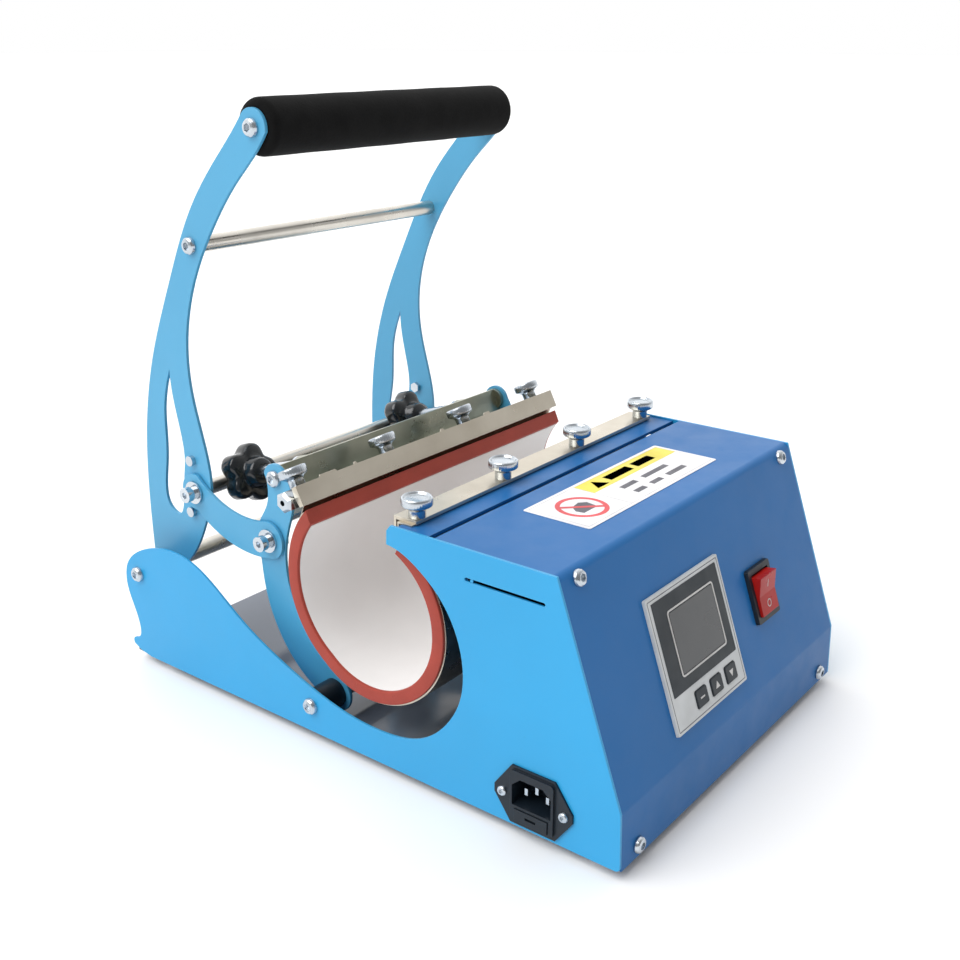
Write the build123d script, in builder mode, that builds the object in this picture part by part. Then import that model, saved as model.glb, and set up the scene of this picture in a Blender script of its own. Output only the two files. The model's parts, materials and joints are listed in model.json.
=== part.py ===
from build123d import *
import math
import os

# A mug heat press: a low sheet-metal base with the control box at the front, a heater bent round
# the mug, and a lever at the rear that closes the heater's rear half through two toggle links.
# X is the width, -Y the operator's side, +Z up, and z = 0 is the bottom of the rubber feet.
# Millimetres.

# ---- driving dimensions ------------------------------------------------------------------
middle = 3.2                 # distance from the side profiles' datum to the middle of the length
width = 268.0                # over the side plates
plate = 1.5                  # side plate thickness
sheet = 2.0                  # folded sheet thickness
inside = width / 2 - plate   # half the width between the side plates
foot_height = 6.0
floor_top = foot_height + sheet
top = 161.0                  # height of the control box
gap = 0.3                    # clearance between bodies that move
fit = 0.05                   # radial clearance of a pin in its bore

lever_pivot = (190.0, 67.5)
cradle_pivot = (27.5, 24.0)
link_rear = (146.0, 131.5)   # link on the lever
link_front = (78.0, 114.8)   # link on the cradle bracket
handle_centre = (72.7, 363.4)
cross_rod_centre = (133.7, 292.3)
shaft_radius = 6.0
rod_radius = 5.0
stud_radius = 4.0

arm_outer = 112.8            # outer face of the lever arms and of the cradle brackets
arm_thickness = 2.0
bracket_thickness = 2.0
link_inner = arm_outer + 0.4
link_thickness = 2.0
link_outer = link_inner + link_thickness

heater_half = 128.5          # half the heater's length
ring_centre = (-17.0, 98.5)
ring_radius = 48.5           # inner radius of the heater's fixed half
liner = 1.0
pad = 7.5
band = 1.0

front_fold = (-151.8, top)   # where the top of the control box turns into the sloping panel
front_foot = (-194.0, 40.5)  # where the sloping panel turns into the short upright one
slope = Vector(0, front_foot[0] - front_fold[0], front_foot[1] - front_fold[1]).normalized()
slope_out = Vector(0, slope.Z, -slope.Y)

tilt = math.radians(27.6)    # lean of the moving clamp
clamp_corner = (34.9, 165.1)

os.makedirs("parts", exist_ok=True)


# ---- helpers -----------------------------------------------------------------------------
def at(x, y, z):
    """A point of the side profiles' frame, at width x."""
    return Vector(x, y - middle, z)


def side_plane(x):
    """The plane of a side profile at width x; its own axes are Y and Z."""
    return Plane(origin=at(x, 0, 0), x_dir=(0, 1, 0), z_dir=(1, 0, 0))


def outward(side, x, point):
    """A plane on a side profile's point, facing away from the middle; side is -1 or 1."""
    return Plane(origin=at(side * x, *point), x_dir=(0, 1, 0), z_dir=(side, 0, 0))


def panel_plane(depth=0.0):
    """The sloping panel's plane: X across, Y up the slope from the top fold, Z outward."""
    origin = at(0, *front_fold) + slope_out * depth
    return Plane(origin=origin, x_dir=(1, 0, 0), z_dir=slope_out)


def clamp_point(back, down):
    """A point of the moving clamp's leaning frame, from its top front corner."""
    y = clamp_corner[0] + back * math.cos(tilt) - down * math.sin(tilt)
    z = clamp_corner[1] - back * math.sin(tilt) - down * math.cos(tilt)
    return (y, z)


def polar(centre, radius, degrees):
    """A point at an angle and radius from a centre of the side profile."""
    turn = math.radians(degrees)
    return (centre[0] + radius * math.cos(turn), centre[1] + radius * math.sin(turn))


def disc(plane, radius, height, mode=Mode.ADD):
    """A cylinder that stands on a plane."""
    with Locations(plane):
        Cylinder(radius, height, align=(Align.CENTER, Align.CENTER, Align.MIN), mode=mode)


def hexagon(plane, across, height, mode=Mode.ADD):
    """A hexagonal prism that stands on a plane, measured across its flats."""
    with BuildSketch(plane) as flats:
        RegularPolygon(across / 2, 6, major_radius=False, rotation=30)
    extrude(flats.sketch, amount=height, mode=mode)


def turned(plane, profile):
    """A solid turned about the plane's normal, from (radius, height) points."""
    with BuildSketch(Plane(plane.origin, x_dir=plane.x_dir, z_dir=-plane.y_dir)) as half:
        with BuildLine():
            Polyline(*profile, close=True)
        make_face()
    revolve(half.sketch, axis=Axis(plane.origin, plane.z_dir))


def button_screw(plane, diameter, shank_radius, shank):
    """A button-head screw: the head stands on the plane and the shank goes down through it."""
    r = diameter / 2
    height = 0.32 * diameter
    dome = [(r, 0), (r, 0.25 * height), (0.93 * r, 0.6 * height), (0.78 * r, 0.86 * height)]
    turned(plane, [(0, 0)] + dome + [(0.55 * r, height), (0, height)])
    hexagon(plane.offset(height * 0.4), 0.42 * diameter, height, mode=Mode.SUBTRACT)
    disc(plane.offset(-shank), shank_radius, shank)


def thumb_screw(plane, shank):
    """A thumb screw: collar, knurled dished head, and the shank below the plane."""
    head = [(5.2, 0), (5.2, 4.4), (7.4, 6.0), (9.0, 7.2), (9.0, 11.2), (8.4, 12.0)]
    turned(plane, [(0, 0)] + head + [(7.0, 12.0), (5.6, 11.2), (0, 11.0)])
    disc(plane.offset(-shank), 3.0, shank)


def save(piece, name):
    """Label a finished piece and write it."""
    piece.part.label = name
    export_step(piece.part, f"parts/{name}.step")


sides = (("left", -1), ("right", 1))


# ---- side plates -------------------------------------------------------------------------
inlet_centre = (-140.5, 26.3)
inlet_hole = (27.4, 31.2)
inlet_screws = ((-120.5, 25.9), (-160.5, 25.9))


def side_outline(plane):
    """The side plate: control box end, open hook over the heater, low rear with the pivots."""
    with BuildSketch(plane) as outline:
        with BuildLine():
            Polyline((-38.8, 149.2), (-39.2, 157.5), (-42.0, top), front_fold, front_foot,
                     (-195.0, foot_height), (185.0, foot_height), (196.0, 8.0), (201.0, 10.4))
            ThreePointArc((201.0, 10.4), (203.2, 13.2), (201.0, 16.3))
            Spline((201.0, 16.3), (194.6, 20.6), (194.4, 28.0), (200.3, 44.7), (204.1, 62.0))
            Spline((204.1, 62.0), (200.0, 74.5), (187.7, 84.7), (168.4, 91.9), (151.0, 93.9),
                   (134.0, 91.5), (114.0, 81.9), (86.9, 63.4), (50.1, 45.3), (20.0, 34.6),
                   (-5.7, 28.9), (-33.0, 27.8), (-58.0, 33.0), (-79.3, 49.9), (-90.6, 71.5),
                   (-91.9, 92.0), (-86.2, 112.5), (-75.8, 128.3), (-62.0, 140.0), (-49.5, 146.8),
                   (-38.8, 149.2))
        make_face()
        corner = plane.from_local_coords(Vector(*front_fold, 0))
        fillet(outline.vertices().sort_by_distance(corner)[0], 3.0)
        with Locations((-119.5, 143.8)):
            SlotOverall(51.6, 2.2, mode=Mode.SUBTRACT)
        with Locations(lever_pivot, cradle_pivot):
            Circle(3.0, mode=Mode.SUBTRACT)
    return outline.sketch


for name, side in sides:
    with BuildPart() as side_plate:
        extrude(side_outline(side_plane(side * inside)), amount=side * plate)
        if side < 0:
            with BuildSketch(side_plane(-width / 2)) as hole:
                with Locations(inlet_centre):
                    Rectangle(*inlet_hole)
                with Locations(*inlet_screws):
                    Circle(1.7)
            extrude(hole.sketch, amount=plate, mode=Mode.SUBTRACT)
    save(side_plate, f"side_plate_{name}")

# ---- folded sheets between the side plates -----------------------------------------------
controller_size = (82.0, 78.6)
controller_at = (-29.4, -75.3)
controller_hole = (74.0, 70.0)
switch_size = (29.0, 34.8)
switch_at = (53.6, -74.7)
switch_hole = (25.6, 30.6)
slot_front = -70.4           # rear edge of the control box's top


def folded(half_width, radii, *path):
    """A folded sheet that runs across the machine; the path is its outer face, rounded at corners."""
    with BuildSketch(side_plane(-half_width)) as section:
        with BuildLine():
            FilletPolyline(*path, radius=radii)
            offset(amount=sheet, side=Side.LEFT)
        make_face()
    extrude(section.sketch, amount=2 * half_width)


upper_screw = (117.5, -6.0)  # on the sloping panel, from its top fold
lower_screw = (116.0, 13.5)  # on the upright panel
panel_shank = 2.5
upright = Plane(origin=at(0, -195.0, 0), x_dir=(1, 0, 0), z_dir=(0, -1, 0))

with BuildPart() as control_cover:
    folded(inside, (2.6, 5.0, 5.0), (slot_front, 147.0), (slot_front, top), front_fold, front_foot,
           (-195.0, foot_height))
    with BuildSketch(panel_plane()):
        with Locations(controller_at):
            Rectangle(*controller_hole)
        with Locations(switch_at):
            Rectangle(*switch_hole)
        with Locations(upper_screw, (-upper_screw[0], upper_screw[1])):
            Circle(panel_shank)
    extrude(amount=-2 * sheet, mode=Mode.SUBTRACT)
    with BuildSketch(upright):
        with Locations(lower_screw, (-lower_screw[0], lower_screw[1])):
            Circle(panel_shank)
    extrude(amount=-2 * sheet, mode=Mode.SUBTRACT)
save(control_cover, "control_cover")

floor_front = -192.6
floor_rear = 200.5
with BuildPart() as bottom_plate:
    with BuildSketch(Plane.XY.offset(foot_height)):
        with Locations((0, (floor_front + floor_rear) / 2 - middle)):
            Rectangle(2 * inside, floor_rear - floor_front)
    extrude(amount=sheet)
save(bottom_plate, "bottom_plate")

partition_y = -95.0
with BuildPart() as partition_wall:
    with BuildSketch(side_plane(-inside)):
        with Locations((partition_y, floor_top)):
            Rectangle(sheet, top - sheet - floor_top, align=(Align.MIN, Align.MIN))
    extrude(amount=2 * inside)
save(partition_wall, "partition_wall")

shelf_top = top - 1.0
shelf_front = -66.8
with BuildPart() as clamp_shelf:
    folded(inside, (2.6,), (-42.6, 154.4), (-42.6, shelf_top), (shelf_front, shelf_top))
save(clamp_shelf, "clamp_shelf")

with BuildPart() as rubber_feet:
    with BuildSketch() as foot_places:
        with Locations((0, -3.5 - middle)):
            with GridLocations(239.0, 347.0, 2, 2):
                Circle(8.5)
    extrude(amount=foot_height, taper=6)
save(rubber_feet, "rubber_feet")

with BuildPart() as panel_screws:
    for side in (-1, 1):
        for face, (x, height) in ((panel_plane(), upper_screw), (upright.offset(-0.08), lower_screw)):
            seat = face.from_local_coords(Vector(side * x, height, 0))
            button_screw(Plane(seat, x_dir=(1, 0, 0), z_dir=face.z_dir), 9.5, panel_shank, 6.0)
save(panel_screws, "panel_screws")

# ---- pivots of the base ------------------------------------------------------------------
for name, centre in (("lever_pivot_shaft", lever_pivot), ("cradle_pivot_shaft", cradle_pivot)):
    with BuildPart() as pivot_shaft:
        with BuildSketch(side_plane(-inside)) as section:
            with Locations(centre):
                Circle(shaft_radius)
        extrude(amount=2 * inside)
        for side in (-1, 1):
            disc(outward(side, inside - 14.0, centre), 3.0, 14.0, mode=Mode.SUBTRACT)
    save(pivot_shaft, name)

with BuildPart() as pivot_screws:
    for side in (-1, 1):
        for centre in (lever_pivot, cradle_pivot):
            button_screw(outward(side, width / 2, centre), 10.8, 3.0, 14.0)
save(pivot_screws, "pivot_screws")

with BuildPart() as pivot_spacers:
    for side in (-1, 1):
        for centre in (lever_pivot, cradle_pivot):
            disc(outward(side, arm_outer + gap, centre), 9.5, inside - arm_outer - gap)
            disc(outward(side, arm_outer + gap, centre), shaft_radius, inside - arm_outer - gap,
                 mode=Mode.SUBTRACT)
save(pivot_spacers, "pivot_spacers")

# ---- fixed clamp on the shelf ------------------------------------------------------------
fixed_clamp_half = 124.6
thumb_places = (-118.5, -39.6, 39.6, 118.5)
tab_top = top                # the heater band's tab lies on the shelf, under the clamp
fixed_thumb_y = -48.3
clamp_rear = -53.0
with BuildPart() as fixed_clamp:
    with BuildSketch(side_plane(-fixed_clamp_half)):
        with BuildLine():
            Polyline((clamp_rear, tab_top), (clamp_rear, tab_top + 2.0), (-36.5, tab_top + 2.0),
                     (-36.5, 150.5), (-38.2, 150.5), (-38.2, tab_top), close=True)
        make_face()
    extrude(amount=2 * fixed_clamp_half)
    for x in thumb_places:
        disc(Plane(at(x, fixed_thumb_y, tab_top)), 3.1, 2.0, mode=Mode.SUBTRACT)
save(fixed_clamp, "fixed_clamp")

with BuildPart() as fixed_thumb_screws:
    for x in thumb_places:
        thumb_screw(Plane(at(x, fixed_thumb_y, tab_top + 2.0)), 1.9)
save(fixed_thumb_screws, "fixed_thumb_screws")

# ---- heater: liner, pad and steel band, each fixed, flexing and moving ---------------------
fixed_end = 118.0            # angle of the fixed end, under the hook
flex_start = -78.0
flex_end = -50.0
moving_end = (25.5, 142.5)   # inner corner of the moving end
moving_mid = (38.4, 108.0)
end_slant = 0.42             # degrees that the moving end leans on, for each millimetre of depth


def arc_centre(a, b, c):
    """The centre of the circle through three points."""
    ax, ay, bx, by, cx, cy = *a, *b, *c
    d = 2 * (ax * (by - cy) + bx * (cy - ay) + cx * (ay - by))
    sa, sb, sc = ax * ax + ay * ay, bx * bx + by * by, cx * cx + cy * cy
    return ((sa * (by - cy) + sb * (cy - ay) + sc * (ay - by)) / d,
            (sa * (cx - bx) + sb * (ax - cx) + sc * (bx - ax)) / d)


moving_start = polar(ring_centre, ring_radius, flex_end)
moving_centre = arc_centre(moving_start, moving_mid, moving_end)
moving_radius = math.dist(moving_centre, moving_mid)
moving_from = math.degrees(math.atan2(moving_start[1] - moving_centre[1],
                                      moving_start[0] - moving_centre[0]))
moving_to = math.degrees(math.atan2(moving_end[1] - moving_centre[1],
                                    moving_end[0] - moving_centre[0]))


def curved_layer(inner, outer, half_length):
    """A layer bent round the mug's axis, between two faces given as three points each."""
    with BuildSketch(side_plane(-half_length)) as section:
        with BuildLine():
            ThreePointArc(*inner)
            Line(inner[-1], outer[-1])
            ThreePointArc(*reversed(outer))
            Line(outer[0], inner[0])
        make_face()
    extrude(section.sketch, amount=2 * half_length)


def fixed_arc(depth, start, end):
    """Three points of the fixed half, at a depth outside the mug's surface."""
    return [polar(ring_centre, ring_radius + depth, angle)
            for angle in (start, (start + end) / 2, end)]


def moving_arc(depth):
    """Three points of the moving half, at a depth outside the mug's surface; its end is cut aslant."""
    end = moving_to + end_slant * depth
    return [polar(moving_centre, moving_radius + depth, angle)
            for angle in (moving_from, (moving_from + end) / 2, end)]


def band_arc(depth):
    """Three points of the steel band on the moving half, which stops short of the pad's end."""
    return [polar(moving_centre, moving_radius + depth, angle)
            for angle in (moving_from, (moving_from + moving_to) / 2, moving_to)]


def flex_arc(depth):
    """Three points of the flexing part, which meets both halves face to face."""
    return fixed_arc(depth, flex_start, flex_end)[:2] + moving_arc(depth)[:1]


# each layer's name, its depth outside the mug's surface, its thickness and its half length
layers = (("liner", 0.0, liner, heater_half - 1.0), ("pad", liner, pad, heater_half),
          ("band", liner + pad, band, heater_half - 1.5))
band_depth = liner + pad + band
band_outer = ring_radius + band_depth
for name, depth, thickness, half_length in layers:
    with BuildPart() as heater_fixed:
        curved_layer(fixed_arc(depth, fixed_end, 360.0 + flex_start),
                     fixed_arc(depth + thickness, fixed_end, 360.0 + flex_start), half_length)
        if name == "band":
            with BuildSketch(side_plane(-half_length)) as tab:
                with BuildLine():
                    Polyline(polar(ring_centre, band_outer, fixed_end + 4.0), (-41.2, 153.0),
                             (-41.2, tab_top), (-51.5, tab_top), (-51.5, tab_top - band),
                             (-42.2, tab_top - band), (-42.2, 153.4),
                             polar(ring_centre, band_outer, fixed_end + 6.0), close=True)
                make_face()
            extrude(tab.sketch, amount=2 * half_length)
    save(heater_fixed, f"heater_{name}_fixed")

    with BuildPart() as heater_moving:
        if name != "band":
            curved_layer(moving_arc(depth), moving_arc(depth + thickness), half_length)
        else:
            curved_layer(band_arc(depth), band_arc(depth + thickness), half_length)
            foot = polar(moving_centre, moving_radius + band_depth, moving_to - 2.5)
            heel = polar(moving_centre, moving_radius + band_depth, moving_to - 4.0)
            with BuildSketch(side_plane(-half_length)) as tab:
                with BuildLine():
                    Polyline(foot, clamp_point(2.2, 11.6), clamp_point(2.2, 1.0),
                             clamp_point(3.2, 1.0), clamp_point(3.2, 12.0), heel, close=True)
                make_face()
            extrude(tab.sketch, amount=2 * half_length)
    save(heater_moving, f"heater_{name}_moving")

# the liner and the pad flex as one piece, and the band flexes outside them
for name, depth, thickness, half_length in (("pad", 0.0, liner + pad, heater_half - 0.5),
                                            ("band", liner + pad, band, heater_half - 1.5)):
    with BuildPart() as heater_flex:
        curved_layer(flex_arc(depth), flex_arc(depth + thickness), half_length)
    save(heater_flex, f"heater_{name}_flex")

# ---- power inlet on the left side plate --------------------------------------------------
inlet_face = width / 2 + 2.8
flange_thickness = 1.3
socket_at = (-140.5, 29.6)
socket_size = (25.4, 17.0)
drawer_at = (-140.5, 15.5)
drawer_size = (21.6, 7.2)
drawer_step = 0.6            # how far the drawer's front stands out
pocket_depth = 19.0

with BuildPart() as inlet_body:
    with BuildSketch(side_plane(-width / 2 - flange_thickness)) as flange:
        with BuildLine():
            Polyline((-126.4, 44.4), (-154.6, 44.4), (-166.0, 28.6), (-166.0, 23.6),
                     (-155.2, 8.4), (-125.8, 8.4), (-115.0, 23.6), (-115.0, 28.6), close=True)
        make_face()
        with Locations(*inlet_screws):
            Circle(1.8, mode=Mode.SUBTRACT)
    extrude(flange.sketch, amount=flange_thickness)
    with BuildSketch(side_plane(-inlet_face)) as shell:
        with Locations(inlet_centre):
            RectangleRounded(28.4, 32.4, 2.5)
    extrude(shell.sketch, amount=inlet_face - width / 2)
    with BuildSketch(side_plane(-width / 2)) as throat:
        with Locations(inlet_centre):
            Rectangle(inlet_hole[0] - 0.4, inlet_hole[1] - 0.4)
    extrude(throat.sketch, amount=22.0)
    with BuildSketch(side_plane(-inlet_face)) as opening:
        with BuildLine():
            half_w, half_h = socket_size[0] / 2, socket_size[1] / 2
            y, z = socket_at
            Polyline((y - half_w, z - half_h), (y + half_w, z - half_h), (y + half_w, z + 3.8),
                     (y + 7.4, z + half_h), (y - 7.4, z + half_h), (y - half_w, z + 3.8),
                     close=True)
        make_face()
    extrude(opening.sketch, amount=16.5, mode=Mode.SUBTRACT)
    with BuildSketch(side_plane(-inlet_face)) as pocket:
        with Locations(drawer_at):
            Rectangle(drawer_size[0] + 2 * gap, drawer_size[1] + 2 * gap)
    extrude(pocket.sketch, amount=pocket_depth, mode=Mode.SUBTRACT)
save(inlet_body, "inlet_body")

with BuildPart() as inlet_pins:
    with BuildSketch(side_plane(-inlet_face + 5.4)) as blades:
        with Locations((socket_at[0], socket_at[1] + 1.6), (socket_at[0] - 7.0, socket_at[1] - 1.6),
                       (socket_at[0] + 7.0, socket_at[1] - 1.6)):
            Rectangle(2.0, 4.2)
    extrude(blades.sketch, amount=11.1)
save(inlet_pins, "inlet_pins")

with BuildPart() as inlet_screw_pair:
    for centre in inlet_screws:
        button_screw(outward(-1, width / 2 + flange_thickness, centre), 6.0, 1.6, 6.0)
save(inlet_screw_pair, "inlet_screws")

with BuildPart() as fuse_drawer:
    with BuildSketch(side_plane(-inlet_face - drawer_step)) as drawer:
        with Locations(drawer_at):
            Rectangle(*drawer_size)
    extrude(drawer.sketch, amount=pocket_depth + 0.4)
    with BuildSketch(side_plane(-inlet_face - drawer_step)) as grip_slot:
        with Locations(drawer_at):
            Rectangle(7.0, 1.6)
    extrude(grip_slot.sketch, amount=1.6, mode=Mode.SUBTRACT)
save(fuse_drawer, "fuse_drawer")

# ---- power switch on the sloping panel ---------------------------------------------------
rim_height = 2.6
rocker_size = (21.0, 24.6)
rocker_swing = 10.0          # lean of the rocker either way from level
switch_opening = (21.8, 27.0)
trunnion = 1.5

with BuildPart() as switch_frame:
    with BuildSketch(panel_plane()) as rim:
        with Locations(switch_at):
            RectangleRounded(*switch_size, 2.0)
    extrude(rim.sketch, amount=rim_height, taper=8)
    with BuildSketch(panel_plane()) as box:
        with Locations(switch_at):
            Rectangle(switch_hole[0] - 0.4, switch_hole[1] - 0.4)
    extrude(box.sketch, amount=-24.0)
    with BuildSketch(panel_plane(rim_height)) as opening:
        with Locations(switch_at):
            Rectangle(*switch_opening)
    extrude(opening.sketch, amount=-rim_height - 9.0, mode=Mode.SUBTRACT)
    across = panel_plane().from_local_coords(Vector(switch_at[0] - rocker_size[0] / 2 - 1.5,
                                                    switch_at[1], 0))
    disc(Plane(across, x_dir=(0, 1, 0), z_dir=(1, 0, 0)), trunnion + fit, rocker_size[0] + 3.0,
         mode=Mode.SUBTRACT)
save(switch_frame, "switch_frame")

rocker_pivot = panel_plane().from_local_coords(Vector(*switch_at, 0))
swing = math.radians(rocker_swing)
rocker_along = slope * -math.cos(swing) + slope_out * math.sin(swing)
rocker_plane = Plane(rocker_pivot - Vector(rocker_size[0] / 2, 0, 0), x_dir=rocker_along,
                     z_dir=(1, 0, 0))
with BuildPart() as switch_rocker:
    with BuildSketch(rocker_plane) as wedge:
        half = rocker_size[1] / 2
        with BuildLine():
            Polyline((-half, -1.2), (-half, 6.4), (0, 4.6), (half, 6.4), (half, -1.2), (0, -4.2),
                     close=True)
        make_face()
    extrude(wedge.sketch, amount=rocker_size[0])
    disc(rocker_plane.offset(-1.2), trunnion, rocker_size[0] + 2.4)
save(switch_rocker, "switch_rocker")

# ---- temperature controller --------------------------------------------------------------
bezel_height = 1.8
button_size = (12.4, 10.2)
button_places = (-39.6, -22.1, -4.6)
button_row = -103.6
face_size = (72.8, 54.2)
face_at = (-29.2, -66.9)
screen_size = (52.0, 38.8)
screen_at = (-27.0, -67.7)

with BuildPart() as controller_body:
    with BuildSketch(panel_plane()) as bezel:
        with Locations(controller_at):
            RectangleRounded(*controller_size, 1.2)
    extrude(bezel.sketch, amount=bezel_height, taper=6)
    with BuildSketch(panel_plane()) as case:
        with Locations(controller_at):
            Rectangle(controller_hole[0] - 0.8, controller_hole[1] - 0.8)
    extrude(case.sketch, amount=-44.0)
    with BuildSketch(panel_plane(bezel_height)) as recess:
        with Locations(face_at):
            Rectangle(*face_size)
    extrude(recess.sketch, amount=-1.0, mode=Mode.SUBTRACT)
    with BuildSketch(panel_plane(bezel_height)) as wells:
        for x in button_places:
            with Locations((x, button_row)):
                RectangleRounded(button_size[0] + 2 * gap, button_size[1] + 2 * gap, 1.5)
    extrude(wells.sketch, amount=-3.6, mode=Mode.SUBTRACT)
save(controller_body, "controller_body")

with BuildPart() as controller_face:
    with BuildSketch(panel_plane(bezel_height - 1.0)) as dark_face:
        with Locations(face_at):
            RectangleRounded(*face_size, 1.0)
    extrude(dark_face.sketch, amount=1.2)
    with BuildSketch(panel_plane(bezel_height + 0.2)) as window:
        with Locations(screen_at):
            Rectangle(screen_size[0] - 3.0, screen_size[1] - 3.0)
    extrude(window.sketch, amount=-0.7, mode=Mode.SUBTRACT)
save(controller_face, "controller_face")

with BuildPart() as controller_screen:
    with BuildSketch(panel_plane(bezel_height - 0.5)) as glass:
        with Locations(screen_at):
            Rectangle(screen_size[0] - 3.2, screen_size[1] - 3.2)
    extrude(glass.sketch, amount=0.9)
save(controller_screen, "controller_screen")

for name, x in zip(("left", "middle", "right"), button_places):
    with BuildPart() as button:
        with BuildSketch(panel_plane(bezel_height - 2.3)) as cap:
            with Locations((x, button_row)):
                RectangleRounded(*button_size, 1.3)
        extrude(cap.sketch, amount=3.2)
        chamfer(button.faces().sort_by(Axis(panel_plane().origin, slope_out))[-1].edges(), 0.4)
    save(button, f"button_{name}")

with BuildPart() as caution_label:
    with BuildSketch(Plane.XY.offset(top)):
        with Locations((1.0, -108.5 - middle)):
            RectangleRounded(146.0, 45.0, 1.5)
    extrude(amount=0.3)
save(caution_label, "caution_label")

# ---- lever -------------------------------------------------------------------------------
stop_bolt_places = ((149.0, 152.2), (152.2, 116.0))
arm_end = 10.9               # radius of the arm's upper end


def arm_outline(plane):
    """A lever arm: a bowed plate that widens to the linkage, with a long curved slot."""
    low_end, high_end = polar(handle_centre, arm_end, 192), polar(handle_centre, arm_end, 32)
    with BuildSketch(plane) as outline:
        with BuildLine():
            ThreePointArc(low_end, polar(handle_centre, arm_end, 110), high_end)
            Spline(high_end, (91.5, 358.5), (105.3, 344.6), (130.4, 315.4), (157.6, 266.3),
                   (179.8, 218.0), (193.9, 165.4), (198.2, 110.0), (198.0, 77.1))
            ThreePointArc((198.0, 77.1), (198.8, 58.7), (182.0, 57.9))
            Line((182.0, 57.9), (160.9, 78.4))
            Spline((160.9, 78.4), (149.8, 93.0), (140.3, 111.6), (133.0, 134.8), (134.9, 157.9),
                   (144.7, 198.1), (146.1, 222.0), (135.0, 267.0), (110.8, 307.0), (89.4, 332.2),
                   (71.6, 349.4), low_end)
        make_face()
        with BuildLine():
            Spline((164.5, 210.6), (173.3, 182.8), (175.8, 148.0), (173.2, 112.0), (168.6, 110.5),
                   (160.0, 132.0), (156.8, 152.0), (161.6, 183.4), (164.5, 210.6))
        make_face(mode=Mode.SUBTRACT)
        with Locations(lever_pivot):
            Circle(shaft_radius + fit, mode=Mode.SUBTRACT)
        with Locations(link_rear, handle_centre, cross_rod_centre):
            Circle(stud_radius, mode=Mode.SUBTRACT)
        with Locations(*stop_bolt_places):
            Circle(2.0, mode=Mode.SUBTRACT)
    return outline.sketch


arm_inner = arm_outer - arm_thickness
for name, side in sides:
    with BuildPart() as lever_arm:
        extrude(arm_outline(side_plane(side * arm_inner)), amount=side * arm_thickness)
    save(lever_arm, f"lever_arm_{name}")


def rod(centre, radius, end_hole):
    """A rod between the lever arms, with a tapped hole in each end."""
    with BuildSketch(side_plane(-arm_inner)) as section:
        with Locations(centre):
            Circle(radius)
    extrude(section.sketch, amount=2 * arm_inner)
    for side in (-1, 1):
        disc(outward(side, arm_inner - 12.0, centre), end_hole, 12.0, mode=Mode.SUBTRACT)


with BuildPart() as handle_rod:
    rod(handle_centre, 8.0, stud_radius)
save(handle_rod, "handle_rod")

grip_radius = 16.5
grip_half = 110.3
with BuildPart() as handle_grip:
    with BuildSketch(side_plane(-grip_half)) as section:
        with Locations(handle_centre):
            Circle(grip_radius)
            Circle(8.0, mode=Mode.SUBTRACT)
    extrude(section.sketch, amount=2 * grip_half)
    fillet(handle_grip.edges().filter_by(GeomType.CIRCLE).group_by(SortBy.RADIUS)[-1], 4.0)
save(handle_grip, "handle_grip")

with BuildPart() as lever_cross_rod:
    rod(cross_rod_centre, rod_radius, stud_radius)
save(lever_cross_rod, "lever_cross_rod")

with BuildPart() as arm_screws:
    for side in (-1, 1):
        for centre in (handle_centre, cross_rod_centre):
            button_screw(outward(side, arm_outer, centre), 11.0, stud_radius, 14.0)
save(arm_screws, "arm_screws")

link_washer = link_outer + gap
with BuildPart() as link_rod:
    rod(link_rear, rod_radius, 2.5)
    for side in (-1, 1):
        collar = outward(side, arm_inner, link_rear)
        disc(collar, stud_radius, link_washer - arm_inner)
        disc(collar, 2.5, link_washer - arm_inner, mode=Mode.SUBTRACT)
save(link_rod, "link_rod")


def washer_and_cap(plane, shank_radius, shank):
    """A wide washer, a spring sleeve and a cap screw that stand on a plane."""
    disc(plane, 7.6, 1.5)
    disc(plane.offset(1.5), 4.2, 2.4)
    disc(plane.offset(3.9), 4.9, 4.6)
    hexagon(plane.offset(5.6), 4.0, 4.0, mode=Mode.SUBTRACT)
    disc(plane.offset(-shank), shank_radius, shank)


with BuildPart() as link_rod_bolts:
    for side in (-1, 1):
        washer_and_cap(outward(side, link_washer, link_rear), 2.5, link_washer - arm_inner + 12.0)
save(link_rod_bolts, "link_rod_bolts")

with BuildPart() as stop_bolts:
    for side in (-1, 1):
        for centre in stop_bolt_places:
            disc(outward(side, arm_outer, centre), 3.4, 3.0)
            disc(outward(side, arm_inner, centre), 2.0, arm_thickness)
            hexagon(outward(-side, -arm_inner, centre), 7.0, 3.0)
save(stop_bolts, "stop_bolts")

# ---- toggle links ------------------------------------------------------------------------
link_end = 12.2


def link_outline(plane):
    """A toggle link: round ends joined by a plate that bows downward."""
    with BuildSketch(plane) as outline:
        with BuildLine():
            rear_low, rear_high = polar(link_rear, link_end, -96), polar(link_rear, link_end, 108)
            front_low, front_high = (polar(link_front, link_end, -92),
                                     polar(link_front, link_end, 78))
            ThreePointArc(rear_low, polar(link_rear, link_end, 0), rear_high)
            ThreePointArc(rear_high, (110.0, 126.2), front_high)
            ThreePointArc(front_high, polar(link_front, link_end, 180), front_low)
            ThreePointArc(front_low, (114.0, 104.0), rear_low)
        make_face()
        with Locations(link_rear):
            Circle(stud_radius + fit, mode=Mode.SUBTRACT)
        with Locations(link_front):
            Circle(stud_radius, mode=Mode.SUBTRACT)
    return outline.sketch


for name, side in sides:
    with BuildPart() as link:
        extrude(link_outline(side_plane(side * link_inner)), amount=side * link_thickness)
    save(link, f"link_{name}")

    with BuildPart() as link_bolt:
        washer_and_cap(outward(side, link_outer, link_front), stud_radius, link_thickness)
    save(link_bolt, f"link_bolt_{name}")

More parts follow.
